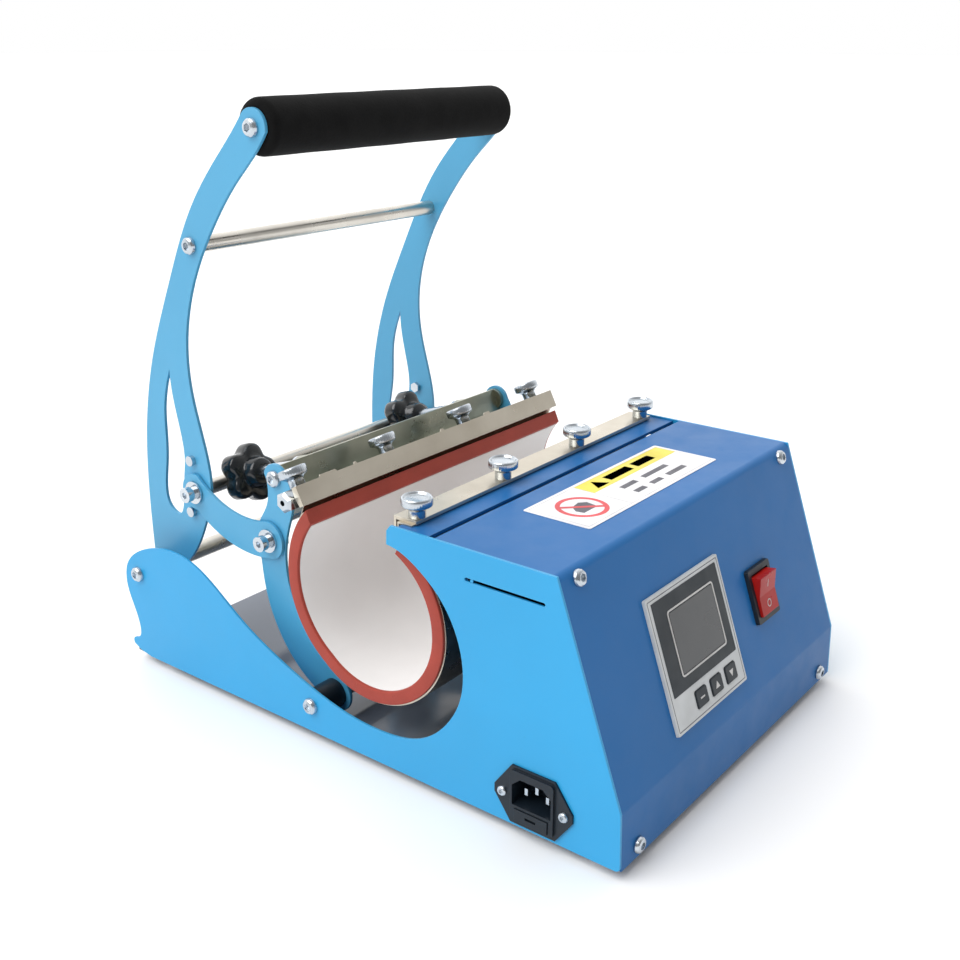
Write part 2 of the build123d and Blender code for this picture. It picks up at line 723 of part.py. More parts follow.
# ---- cradle: the brackets, bars and clamp that carry the heater's moving half ----------------
leg_foot = clamp_point(36.0, 3.6)
stud_lean = math.radians(17.9)
forward = (-math.cos(stud_lean), math.sin(stud_lean))
upward = (math.sin(stud_lean), math.cos(stud_lean))
knob_centre = (128.5, 139.0)
knob_x = 80.0
leg_screw = (71.5, 156.7)


def along(point, forward_by, up_by):
    """A point moved along the pressure stud and square to it."""
    return (point[0] + forward_by * forward[0] + up_by * upward[0],
            point[1] + forward_by * forward[1] + up_by * upward[1])


def bracket_outline(plane):
    """A cradle bracket: a curved plate from the cradle pivot up to the cross plate."""
    with BuildSketch(plane) as outline:
        with BuildLine():
            ThreePointArc((17.5, 32.3), (23.1, 11.8), (39.3, 18.5))
            Spline((39.3, 18.5), (55.4, 27.8), (75.6, 51.5), (86.0, 79.5), (89.0, 106.0),
                   (88.8, 122.3), (80.4, 137.0), (78.4, 150.0), (80.8, 158.5))
            ThreePointArc((80.8, 158.5), (73.0, 166.0), (61.2, 158.5))
            Spline((61.2, 158.5), (57.4, 140.0), (61.8, 126.8), (66.2, 102.4), (59.7, 75.3),
                   (40.2, 50.6), (17.5, 32.3))
        make_face()
        with Locations(cradle_pivot):
            Circle(shaft_radius + fit, mode=Mode.SUBTRACT)
        with Locations(link_front):
            Circle(stud_radius, mode=Mode.SUBTRACT)
        with Locations(leg_screw):
            Circle(3.0, mode=Mode.SUBTRACT)
    return outline.sketch


bracket_inner = arm_outer - bracket_thickness
for name, side in sides:
    with BuildPart() as cradle_bracket:
        extrude(bracket_outline(side_plane(side * bracket_inner)),
                amount=side * bracket_thickness)
    save(cradle_bracket, f"cradle_bracket_{name}")

with BuildPart() as cradle_nuts:
    for side in (-1, 1):
        hexagon(outward(-side, -bracket_inner, link_front), 13.0, 6.5)
        disc(outward(side, bracket_inner, link_front), stud_radius, bracket_thickness)
save(cradle_nuts, "cradle_nuts")

hex_centre_back = 11.4
hex_across = 11.6
hex_top = 0.6
stud_seat = 61.2             # how far in front of the knob's middle the stud's socket ends
leg_height = 20.0
leg_thickness = 3.0
with BuildPart() as cross_plate:
    with BuildSketch(side_plane(-bracket_inner)):
        with BuildLine():
            Polyline(clamp_point(18.3, 6.6), clamp_point(36.0, 6.6),
                     along(leg_foot, -leg_thickness, -2.0), along(leg_foot, -leg_thickness, leg_height),
                     along(leg_foot, 0, leg_height), along(leg_foot, 0, 0), clamp_point(18.3, 3.6),
                     close=True)
        make_face()
    extrude(amount=2 * bracket_inner)
    for side in (-1, 1):
        with BuildSketch(side_plane(side * bracket_inner)) as ear:
            with Locations(leg_screw):
                Circle(7.5)
        extrude(ear.sketch, amount=-side * leg_thickness)
        disc(outward(side, bracket_inner - leg_thickness, leg_screw), 3.0, leg_thickness,
             mode=Mode.SUBTRACT)
        socket = Plane(at(side * knob_x, *along(knob_centre, stud_seat - 12.0, 0)), x_dir=(1, 0, 0),
                       z_dir=(0, *forward))
        disc(socket, 6.3, 12.0)
        disc(socket, stud_radius + fit, 12.0, mode=Mode.SUBTRACT)
save(cross_plate, "cross_plate")

with BuildPart() as cross_plate_screws:
    for side in (-1, 1):
        button_screw(outward(side, arm_outer, leg_screw), 11.0, 3.0,
                     bracket_thickness + leg_thickness)
save(cross_plate_screws, "cross_plate_screws")


def thumb_seat(x):
    """The seat of a moving thumb screw, on the hexagonal bar's upper flat."""
    return Plane(at(x, *clamp_point(hex_centre_back, hex_top)), x_dir=(1, 0, 0),
                 z_dir=(0, math.sin(tilt), math.cos(tilt)))


hex_half = 134.5
hex_middle = clamp_point(hex_centre_back, hex_top + hex_across / 2)
with BuildPart() as clamp_hex_bar:
    with BuildSketch(side_plane(-hex_half)) as section:
        with Locations(Location((*hex_middle, 0), (0, 0, -math.degrees(tilt)))):
            RegularPolygon(hex_across / 2, 6, major_radius=False)
    extrude(section.sketch, amount=2 * hex_half)
    ends = clamp_hex_bar.faces().sort_by(Axis.X)
    chamfer(ends[0].edges() + ends[-1].edges(), 1.6)
    for side in (-1, 1):
        disc(outward(side, hex_half - 10.0, hex_middle), 1.7, 10.0, mode=Mode.SUBTRACT)
    for x in thumb_places:
        disc(Plane(thumb_seat(x).origin, z_dir=-thumb_seat(x).z_dir), 3.0, 7.0, mode=Mode.SUBTRACT)
save(clamp_hex_bar, "clamp_hex_bar")

moving_clamp_half = 130.0
moving_wall = 2.0
with BuildPart() as moving_clamp:
    with BuildSketch(side_plane(-moving_clamp_half)):
        with BuildLine():
            Polyline(clamp_point(0, 0), clamp_point(moving_wall, 0), clamp_point(moving_wall, 12.5),
                     clamp_point(0, 12.5), close=True)
        make_face()
    extrude(amount=2 * moving_clamp_half)
    for side in (-1, 1):
        with BuildSketch(side_plane(side * moving_clamp_half)) as lip:
            with BuildLine():
                Polyline(clamp_point(0, 0), clamp_point(4.2, 0.4), clamp_point(4.7, 6.4),
                         clamp_point(3.4, 12.5), clamp_point(0, 12.5), close=True)
            make_face()
        extrude(lip.sketch, amount=-side * 1.4)
save(moving_clamp, "moving_clamp")

with BuildPart() as moving_thumb_screws:
    for x in thumb_places:
        thumb_screw(thumb_seat(x), 6.6)
save(moving_thumb_screws, "moving_thumb_screws")

# ---- pressure knobs ----------------------------------------------------------------------
knob_half = 11.0
lobe_ring = 14.2
for name, side in sides:
    rear = Plane(at(side * knob_x, *along(knob_centre, -knob_half, 0)), x_dir=(1, 0, 0),
                 z_dir=(0, *forward))
    with BuildPart() as pressure_knob:
        with BuildSketch(rear) as star:
            Circle(14.5)
            with PolarLocations(lobe_ring, 5):
                Circle(6.0)
            fillet(star.vertices(), 3.0)
        extrude(star.sketch, amount=13.5)
        rounded = pressure_knob.faces().sort_by(Axis(rear.origin, rear.z_dir))
        chamfer(rounded[-1].edges() + rounded[0].edges(), 1.6)
        with BuildSketch(rear.offset(13.4)) as hub:
            Circle(10.5)
        extrude(hub.sketch, amount=8.6, taper=14)
        disc(rear.offset(6.0), stud_radius, 30.0, mode=Mode.SUBTRACT)
    save(pressure_knob, f"pressure_knob_{name}")

    with BuildPart() as knob_stud:
        disc(rear.offset(6.0), stud_radius, stud_seat + knob_half - 6.3)
        disc(rear.offset(stud_seat + knob_half - 15.0), 6.2, 2.6)
    save(knob_stud, f"knob_stud_{name}")
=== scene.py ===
"""A mug heat press: materials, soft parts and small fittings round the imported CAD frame, with a studio."""

import json
import math

import bpy
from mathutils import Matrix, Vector


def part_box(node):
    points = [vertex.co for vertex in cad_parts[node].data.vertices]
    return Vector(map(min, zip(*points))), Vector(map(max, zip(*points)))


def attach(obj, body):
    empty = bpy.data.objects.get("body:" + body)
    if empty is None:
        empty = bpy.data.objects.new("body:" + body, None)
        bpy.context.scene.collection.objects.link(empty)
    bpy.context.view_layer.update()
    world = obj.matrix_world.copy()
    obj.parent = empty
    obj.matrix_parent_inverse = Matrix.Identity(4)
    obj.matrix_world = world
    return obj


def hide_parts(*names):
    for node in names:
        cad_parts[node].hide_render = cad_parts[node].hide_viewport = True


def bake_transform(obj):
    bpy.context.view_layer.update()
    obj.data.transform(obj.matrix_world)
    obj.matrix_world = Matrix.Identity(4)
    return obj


MM = 0.001
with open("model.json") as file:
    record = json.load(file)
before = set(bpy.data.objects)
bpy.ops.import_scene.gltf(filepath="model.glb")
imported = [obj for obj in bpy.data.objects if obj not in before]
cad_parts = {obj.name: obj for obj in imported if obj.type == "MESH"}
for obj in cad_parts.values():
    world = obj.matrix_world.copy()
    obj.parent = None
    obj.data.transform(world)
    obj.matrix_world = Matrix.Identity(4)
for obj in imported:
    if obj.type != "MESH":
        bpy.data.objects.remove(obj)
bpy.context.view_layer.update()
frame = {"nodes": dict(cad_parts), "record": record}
nodes = frame["nodes"]

# ---- the design's driving dimensions, in millimetres ------------------------------------------
MIDDLE = 3.2                     # from the side profiles' datum to the middle of the length
RING_CENTRE = (-17.0, 98.5)
RING_RADIUS = 48.5
LINER, PAD, BAND = 1.0, 7.5, 1.0
FIXED_END, FLEX_START, FLEX_END = 118.0, -78.0, -50.0
MOVING_MID, MOVING_END = (38.4, 108.0), (25.5, 142.5)
HEATER_HALF = 128.5
TOP_FOLD, FOOT_FOLD = (-151.8, 161.0), (-194.0, 40.5)
HANDLE = (72.7, 363.4)
GRIP_RADIUS, GRIP_HALF, HANDLE_ROD = 16.5, 110.3, 8.0
KNOB_CENTRE, KNOB_X, STUD_LEAN = (128.5, 139.0), 80.0, 17.9
THUMB_X = (-118.5, -39.6, 39.6, 118.5)
FIXED_THUMB = (-48.3, 163.0)
CLAMP_CORNER, CLAMP_LEAN = (34.9, 165.1), 27.6
BAR_BACK, BAR_TOP = 11.4, 0.6    # the hexagonal bar's middle and upper flat, from the clamp's corner
END_SLANT = 0.42                 # degrees that the moving end leans on, for each millimetre of depth
STEP = 2.0                       # degrees from one place along the heater to the next
SHEET = 0.35                     # the mug side's thin sheet, which ends a little before the sponge does
SHEET_INSET, SHEET_SET_BACK = 2.0, 2.2      # millimetres at its long edges, degrees at its free ends
BAND_INSET = 1.5
RIPPLE = 0.15                    # how far the soft layers wander in and out
RIPPLE_TURN, RIPPLE_ALONG, RIPPLE_FADE = 3.1, 0.023, 0.017


def at(x, y, z):
    """A point of the side profiles' frame, in the row frame and metres."""
    return Vector((x, y - MIDDLE, z)) * MM


def polar(centre, radius, degrees):
    """A point of the side profile, at an angle round a centre."""
    turn = math.radians(degrees)
    return (centre[0] + radius * math.cos(turn), centre[1] + radius * math.sin(turn))


# ---- mesh helpers ------------------------------------------------------------------------------
def mesh_object(name, vertices, faces, smooth=True):
    """A new object from points in metres."""
    mesh = bpy.data.meshes.new(name)
    mesh.from_pydata([tuple(v) for v in vertices], [], faces)
    mesh.validate()
    if smooth:
        mesh.shade_smooth()
    piece = bpy.data.objects.new(name, mesh)
    bpy.context.scene.collection.objects.link(piece)
    return piece


def loft(name, sections):
    """A capped skin over sections of equal length, each a closed loop."""
    count, size = len(sections), len(sections[0])
    vertices = [point for section in sections for point in section]
    faces = []
    for i in range(count - 1):
        a, b = i * size, (i + 1) * size
        for j in range(size):
            k = (j + 1) % size
            faces.append((a + j, a + k, b + k, b + j))
    faces.append(tuple(reversed(range(size))))
    faces.append(tuple(range((count - 1) * size, count * size)))
    return mesh_object(name, vertices, faces)


def sharpen(piece, degrees=35.0):
    """Marks the edges that turn more than an angle as sharp, so that only curved stretches shade smooth."""
    piece.data.set_sharp_from_angle(angle=math.radians(degrees))
    return piece


def join(name, pieces):
    """Several objects made one."""
    with bpy.context.temp_override(active_object=pieces[0], selected_editable_objects=pieces,
                                   selected_objects=pieces):
        bpy.ops.object.join()
    pieces[0].name = name
    return pieces[0]


def axes_of(axis):
    """Two directions square to an axis, and the axis itself."""
    w = Vector(axis).normalized()
    u = Vector((1, 0, 0)) if abs(w.x) < 0.9 else Vector((0, 1, 0))
    u = (u - w * u.dot(w)).normalized()
    return u, w.cross(u), w


def lathe(name, origin, axis, profile, segments=48, radius_at=None):
    """A turned shape from (radius, height) points in millimetres, which radius_at may reshape.

    radius_at is given the turn, the radius and the height.
    """
    u, v, w = axes_of(axis)
    sections = []
    for radius, height in profile:
        section = []
        for i in range(segments):
            turn = 2 * math.pi * i / segments
            r = radius_at(turn, radius, height) if radius_at else radius
            spot = (u * math.cos(turn) + v * math.sin(turn)) * r + w * height
            section.append(origin + spot * MM)
        sections.append(section)
    return loft(name, sections)


def plate(name, origin, u, v, out, outline, thickness):
    """A thin printed or moulded plate from (u, v) points in millimetres, standing on origin along out."""
    low = [origin + (u * a + v * b) * MM for a, b in outline]
    high = [p + out * (thickness * MM) for p in low]
    size = len(outline)
    faces = [tuple(range(size, 2 * size)), tuple(reversed(range(size)))]
    faces += [(i, (i + 1) % size, size + (i + 1) % size, size + i) for i in range(size)]
    return mesh_object(name, low + high, faces, smooth=False)


def rounded_rectangle(width, height, radius, centre=(0.0, 0.0), steps=5):
    """Points of a rounded rectangle, anticlockwise."""
    points = []
    for corner, (sx, sy) in enumerate(((1, 1), (-1, 1), (-1, -1), (1, -1))):
        for i in range(steps + 1):
            turn = math.radians(90 * corner + 90 * i / steps)
            points.append((centre[0] + sx * (width / 2 - radius) + radius * math.cos(turn),
                           centre[1] + sy * (height / 2 - radius) + radius * math.sin(turn)))
    return points


def frame_plate(name, origin, u, v, out, outer, inner, thickness):
    """A flat ring between two outlines with the same number of points."""
    size = len(outer)
    low_out = [origin + (u * a + v * b) * MM for a, b in outer]
    low_in = [origin + (u * a + v * b) * MM for a, b in inner]
    lift = out * (thickness * MM)
    vertices = low_out + low_in + [p + lift for p in low_out] + [p + lift for p in low_in]
    faces = []
    for i in range(size):
        j = (i + 1) % size
        faces.append((2 * size + i, 2 * size + j, 3 * size + j, 3 * size + i))
        faces.append((i, j, 2 * size + j, 2 * size + i))
        faces.append((size + j, size + i, 3 * size + i, 3 * size + j))
        faces.append((j, i, size + i, size + j))
    return mesh_object(name, vertices, faces, smooth=False)


# ---- material helpers --------------------------------------------------------------------------
class Look:
    """A node material under construction."""

    def __init__(self, name, roughness, metallic=0.0):
        self.material = bpy.data.materials.new(name)
        self.material.use_nodes = True
        self.tree = self.material.node_tree
        self.shader = self.tree.nodes["Principled BSDF"]
        self.shader.inputs["Roughness"].default_value = roughness
        self.shader.inputs["Metallic"].default_value = metallic
        self.coordinates = self.tree.nodes.new("ShaderNodeTexCoord").outputs["Object"]

    def node(self, kind, **settings):
        made = self.tree.nodes.new(kind)
        for key, value in settings.items():
            setattr(made, key, value)
        return made

    def link(self, source, target):
        self.tree.links.new(source, target)

    def noise(self, scale, detail=3.0, stretch=(1, 1, 1), roughness=0.55):
        """A noise value, stretched along the axes by the given factors."""
        mapping = self.node("ShaderNodeMapping")
        mapping.inputs["Scale"].default_value = stretch
        self.link(self.coordinates, mapping.inputs["Vector"])
        made = self.node("ShaderNodeTexNoise")
        made.inputs["Scale"].default_value = scale
        made.inputs["Detail"].default_value = detail
        made.inputs["Roughness"].default_value = roughness
        self.link(mapping.outputs["Vector"], made.inputs["Vector"])
        return made.outputs["Fac"]

    def ramp(self, value, low, high, to_low=0.0, to_high=1.0):
        """A value mapped from one range to another, clamped."""
        made = self.node("ShaderNodeMapRange")
        for key, number in (("From Min", low), ("From Max", high), ("To Min", to_low), ("To Max", to_high)):
            made.inputs[key].default_value = number
        self.link(value, made.inputs["Value"])
        return made.outputs["Result"]

    def mix(self, factor, first, second):
        """A colour between two colours; each is a colour or another node's socket."""
        made = self.node("ShaderNodeMix", data_type="RGBA")
        self.link(factor, made.inputs["Factor"])
        for key, value in (("A", first), ("B", second)):
            socket = [s for s in made.inputs if s.name == key and s.type == "RGBA"][0]
            if isinstance(value, tuple):
                socket.default_value = (*value, 1.0)
            else:
                self.link(value, socket)
        return [s for s in made.outputs if s.type == "RGBA"][0]

    def rounded_edges(self, radius):
        """A normal that rounds the edges by a radius in millimetres."""
        made = self.node("ShaderNodeBevel", samples=4)
        made.inputs["Radius"].default_value = radius * MM
        return made.outputs["Normal"]

    def edge_mask(self, normal, low=0.02, high=0.2):
        """1 along the edges that the rounding touches, 0 on flat faces."""
        true_normal = self.node("ShaderNodeNewGeometry").outputs["True Normal"]
        dot = self.node("ShaderNodeVectorMath", operation="DOT_PRODUCT")
        self.link(normal, dot.inputs[0])
        self.link(true_normal, dot.inputs[1])
        return self.ramp(dot.outputs["Value"], 1.0 - low, 1.0 - high)

    def bump(self, height, distance, strength=1.0, normal=None):
        """A bump of the given depth in millimetres, on top of another normal."""
        made = self.node("ShaderNodeBump")
        made.inputs["Strength"].default_value = strength
        made.inputs["Distance"].default_value = distance * MM
        self.link(height, made.inputs["Height"])
        if normal is not None:
            self.link(normal, made.inputs["Normal"])
        return made.outputs["Normal"]

    def finish(self, colour=None, roughness=None, normal=None, **constants):
        """Connects what was made to the shader and returns the material."""
        for key, source in (("Base Color", colour), ("Roughness", roughness), ("Normal", normal)):
            if source is not None:
                self.link(source, self.shader.inputs[key])
        for key, value in constants.items():
            self.shader.inputs[key.replace("_", " ")].default_value = value
        return self.material


def scaled(colour, factor):
    """A colour made lighter or darker."""
    return tuple(min(1.0, c * factor) for c in colour)


def powder_coat(name, colour, edge_highlight_colour, roughness=0.34, specular=0.5):
    """Sprayed and baked paint: fine orange peel, faint tone drift, and a painted highlight that makes the
    edges paler.
    """
    look = Look(name, roughness)
    drift = look.ramp(look.noise(9.0, 4.0), 0.3, 0.7)
    base = look.mix(drift, scaled(colour, 0.96), scaled(colour, 1.04))
    rounded = look.rounded_edges(0.45)
    # painted highlight: the edges that the rounding touches are lightened towards the edge colour, standing
    # in for light caught on the rims
    edge = look.ramp(look.edge_mask(rounded), 0.0, 1.0, 0.0, 0.55)
    painted = look.mix(edge, base, edge_highlight_colour)
    specks = look.ramp(look.noise(420.0, 2.0), 0.72, 0.78, 0.0, 0.35)
    painted = look.mix(specks, painted, scaled(colour, 0.8))
    peel = look.bump(look.noise(900.0, 2.0), 0.02, 0.45, rounded)
    rough = look.ramp(look.noise(60.0, 3.0), 0.3, 0.7, roughness - 0.04, roughness + 0.06)
    return look.finish(painted, rough, peel, Specular_IOR_Level=specular)


def sheet_metal(name, colour, shade, roughness, stretch, edge=0.3):
    """Bare or plated steel with rolling lines, smudges and a little tarnish."""
    look = Look(name, roughness, metallic=1.0)
    lines = look.noise(60.0, 5.0, stretch)
    smudge = look.ramp(look.noise(22.0, 4.0), 0.35, 0.7)
    base = look.mix(smudge, colour, shade)
    base = look.mix(look.ramp(lines, 0.35, 0.65, 0.0, 0.25), base, scaled(colour, 1.15))
    rounded = look.rounded_edges(edge)
    normal = look.bump(lines, 0.015, 0.3, rounded)
    rough = look.ramp(look.noise(35.0, 4.0), 0.3, 0.7, roughness - 0.07, roughness + 0.1)
    return look.finish(base, rough, normal)


def plastic(name, colour, roughness, grain=700.0, depth=0.012, edge=0.3, coat=0.0, specular=0.5):
    """Moulded plastic with a fine grain and softened edges."""
    look = Look(name, roughness)
    base = look.mix(look.ramp(look.noise(40.0, 3.0), 0.3, 0.7), scaled(colour, 0.9), scaled(colour, 1.12))
    normal = look.bump(look.noise(grain, 2.0), depth, 0.4, look.rounded_edges(edge))
    rough = look.ramp(look.noise(90.0, 3.0), 0.3, 0.7, roughness * 0.85, roughness * 1.2)
    return look.finish(base, rough, normal, Coat_Weight=coat, Specular_IOR_Level=specular)


def silicone(name, colour, roughness=0.62):
    """Cut silicone sponge: matt, with fine pores, small dark specks and a painted highlight along the edges.
    """
    look = Look(name, roughness)
    cloud = look.ramp(look.noise(45.0, 4.0), 0.3, 0.7)
    base = look.mix(cloud, scaled(colour, 0.88), scaled(colour, 1.1))
    specks = look.ramp(look.noise(650.0, 2.0), 0.66, 0.74, 0.0, 0.5)
    base = look.mix(specks, base, scaled(colour, 0.55))
    rounded = look.rounded_edges(0.5)
    # painted highlight: the edges that the rounding touches are made paler
    painted_edge_highlight = look.ramp(look.edge_mask(rounded), 0.0, 1.0, 0.0, 0.2)
    base = look.mix(painted_edge_highlight, base, scaled(colour, 1.5))
    normal = look.bump(look.noise(800.0, 3.0), 0.05, 0.5, rounded)
    return look.finish(base, None, normal, Sheen_Weight=0.08, Sheen_Roughness=0.5, Specular_IOR_Level=0.3)


def liner_sheet(name, colour):
    """The smooth cloth-backed sheet that faces the mug, with a very fine weave and a satin gloss."""
    look = Look(name, 0.4)
    drift = look.ramp(look.noise(14.0, 3.0), 0.3, 0.7)
    base = look.mix(drift, scaled(colour, 0.95), scaled(colour, 1.03))
    weave = look.noise(1100.0, 1.0, (1.0, 0.5, 0.5))
    wave = look.bump(look.noise(28.0, 2.0), 0.25, 0.25)
    normal = look.bump(weave, 0.012, 0.3, wave)
    rough = look.ramp(look.noise(30.0, 3.0), 0.3, 0.7, 0.34, 0.46)
    return look.finish(base, rough, normal)


def foam(name, colour):
    """Closed-cell foam: matt, finely pitted."""
    look = Look(name, 0.85)
    cells = look.node("ShaderNodeTexVoronoi")
    cells.inputs["Scale"].default_value = 620.0
    look.link(look.coordinates, cells.inputs["Vector"])
    pits = look.ramp(cells.outputs["Distance"], 0.0, 0.6)
    base = look.mix(look.ramp(look.noise(80.0, 4.0), 0.3, 0.7), scaled(colour, 0.7), scaled(colour, 1.5))
    normal = look.bump(pits, 0.12, 0.6)
    normal = look.bump(look.noise(70.0, 4.0), 0.3, 0.25, normal)
    return look.finish(base, None, normal, Sheen_Weight=0.03, Sheen_Roughness=0.6, Specular_IOR_Level=0.08)


BLUE = (0.018, 0.34, 0.67)
# painted highlight: the pale edge colours below are mixed in along the paint's rounded edges
PALE_BLUE_EDGE_HIGHLIGHT = (0.18, 0.52, 0.80)
COVER_BLUE = (0.010, 0.135, 0.39)
COVER_EDGE_HIGHLIGHT = (0.14, 0.40, 0.70)
ZINC = (0.60, 0.64, 0.68)

materials = {
    "side_blue": powder_coat("side_paint", BLUE, PALE_BLUE_EDGE_HIGHLIGHT),
    "arm_blue": powder_coat("arm_paint", (0.075, 0.36, 0.60), PALE_BLUE_EDGE_HIGHLIGHT),
    "cover_blue": powder_coat("cover_paint", COVER_BLUE, COVER_EDGE_HIGHLIGHT, 0.38, 0.25),
    # painted shade: the bottom plate's dark grey stands in for its blue paint in shade; its reflections come
    # from the gloss
    "floor_blue": powder_coat("floor_paint", (0.130, 0.150, 0.190), (0.2, 0.3, 0.4), 0.09),
    # painted shade: the partition's dark navy stands in for the blue paint in shadow
    "navy_sheet": powder_coat("partition_paint_in_shade", (0.020, 0.080, 0.170), (0.05, 0.12, 0.2), 0.4),
    "stainless": sheet_metal("rolled_stainless", (0.62, 0.57, 0.48), (0.48, 0.43, 0.35), 0.30, (0.05, 1, 1)),
    "plated_steel": sheet_metal("mill_steel", (0.44, 0.44, 0.36), (0.26, 0.27, 0.20), 0.3, (0.05, 1, 1)),
    "bright_rod": sheet_metal("ground_rod", (0.68, 0.65, 0.59), (0.55, 0.52, 0.47), 0.26, (1, 0.1, 0.1)),
    "zinc": sheet_metal("zinc_plate", ZINC, (0.44, 0.49, 0.54), 0.20, (1, 1, 1), 0.2),
    "red_silicone": silicone("red_silicone", (0.36, 0.050, 0.032)),
    "liner_cloth": liner_sheet("liner_sheet", (0.80, 0.78, 0.77)),
    "foam_grip": foam("grip_foam", (0.004, 0.004, 0.004)),
    "foot_rubber": plastic("foot_rubber", (0.62, 0.58, 0.58), 0.7),
    "knob_black": plastic("knob_plastic", (0.006, 0.009, 0.012), 0.16, 200.0, 0.01, 0.6, 0.3),
    "black_plastic": plastic("inlet_plastic", (0.008, 0.014, 0.022), 0.36, specular=0.35),
    "controller_silver": plastic("bezel_film", (0.58, 0.60, 0.61), 0.42, edge=0.5),
    "controller_dark": plastic("face_film", (0.010, 0.017, 0.024), 0.42, specular=0.4),
    "screen_glass": plastic("screen_glass", (0.034, 0.038, 0.042), 0.08, 300.0, 0.002, coat=0.2),
    "red_rocker": plastic("rocker_plastic", (0.42, 0.012, 0.010), 0.30, 300.0, 0.01, 0.6, specular=0.2),
    "label_film": plastic("label_film", (0.80, 0.79, 0.81), 0.35, 300.0, 0.01),
}
print_yellow = plastic("print_yellow", (0.78, 0.66, 0.06), 0.4, 400.0, 0.005)
print_red = plastic("print_red", (0.70, 0.05, 0.06), 0.4, 400.0, 0.005)
print_grey = plastic("print_grey", (0.09, 0.09, 0.11), 0.45, 400.0, 0.005)
print_pale = plastic("print_pale", (0.58, 0.57, 0.56), 0.4, 400.0, 0.005)

slots = {entry["node"]: entry["material_slot"] for entry in frame["record"]["subparts"]}
for name, node in nodes.items():
    node.data.materials.clear()
    node.data.materials.append(materials[slots[name]])


def dress(piece, slot, body, replaced=(), material=None):
    """Gives a new piece its material (from the slot unless one is given) and its body, and hides the nodes it
    stands for.
    """
    piece.data.materials.clear()
    piece.data.materials.append(material or materials[slot])
    if body:
        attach(piece, body)
    if replaced:
        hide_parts(*replaced)
    return piece


# ---- heater ------------------------------------------------------------------------------------
def circle_through(a, b, c):
    """The centre of the circle through three points of the side profile."""
    (ax, ay), (bx, by), (cx, cy) = a, b, c
    d = 2 * (ax * (by - cy) + bx * (cy - ay) + cx * (ay - by))
    sa, sb, sc = ax * ax + ay * ay, bx * bx + by * by, cx * cx + cy * cy
    return ((sa * (by - cy) + sb * (cy - ay) + sc * (ay - by)) / d,
            (sa * (cx - bx) + sb * (ax - cx) + sc * (bx - ax)) / d)


MOVING_START = polar(RING_CENTRE, RING_RADIUS, FLEX_END)
MOVING_CENTRE = circle_through(MOVING_START, MOVING_MID, MOVING_END)
MOVING_RADIUS = math.dist(MOVING_CENTRE, MOVING_MID)


def angle_from(centre, point):
    """The angle of a point round a centre, in degrees."""
    return math.degrees(math.atan2(point[1] - centre[1], point[0] - centre[0]))


MOVING_FROM = angle_from(MOVING_CENTRE, MOVING_START)
MOVING_TO = angle_from(MOVING_CENTRE, MOVING_END)


def along_arc(centre, radius, start, end, slant=0.0):
    """Places along an arc of the heater; each turns a depth into a point, and the last may be aslant."""
    count = max(2, round(abs(end - start) / STEP))
    places = []
    for i in range(count + 1):
        angle, lean_on = start + (end - start) * i / count, slant * i / count
        places.append(lambda depth, angle=angle, lean_on=lean_on:
                      polar(centre, radius + depth, angle + lean_on * depth))
    return places


def along_bend():
    """Places along the bend, whose last one meets the moving half face to face."""
    moving_out = polar((0.0, 0.0), 1.0, MOVING_FROM)
    count = round((FLEX_END - FLEX_START) / STEP)
    places = []
    for i in range(count + 1):
        angle = FLEX_START + (FLEX_END - FLEX_START) * i / count
        point = polar(RING_CENTRE, RING_RADIUS, angle)
        out = Vector(polar((0.0, 0.0), 1.0, angle)).lerp(Vector(moving_out), i / count).normalized()
        places.append(lambda depth, point=point, out=out:
                      (point[0] + out.x * depth, point[1] + out.y * depth))
    return places


def heater_places(set_back):
    """The places of the fixed half, the bend and the moving half; the free ends are set back by degrees."""
    return {"fixed": along_arc(RING_CENTRE, RING_RADIUS, FIXED_END + set_back, 360.0 + FLEX_START),
            "bend": along_bend(),
            "moving": along_arc(MOVING_CENTRE, MOVING_RADIUS, MOVING_FROM, MOVING_TO - set_back, END_SLANT)}


def layer(name, places, inner, outer, half, corner, wave):
    """One bent layer of the heater: a rounded slab that follows the places."""
    across = 26
    thickness = outer - inner
    outline = rounded_rectangle(2 * half, thickness, min(corner, thickness / 2 - 0.01),
                                (0.0, inner + thickness / 2), 4)
    loop = []
    for i, (x, depth) in enumerate(outline):
        following = outline[(i + 1) % len(outline)]
        pieces = across if abs(following[0] - x) > half else 1
        for k in range(pieces):
            share = k / pieces
            loop.append((x + (following[0] - x) * share, depth + (following[1] - depth) * share))
    sections = []
    for place in places:
        y, z = place(0.0)
        turn = math.atan2(z - RING_CENTRE[1], y - RING_CENTRE[0])
        section = []
        for x, depth in loop:
            ripple = wave * math.sin(RIPPLE_TURN * turn + RIPPLE_ALONG * x) * math.sin(RIPPLE_FADE * x + 1.0)
            section.append(at(x, *place(depth + ripple)))
        sections.append(section)
    return sharpen(loft(name, sections), 40.0)


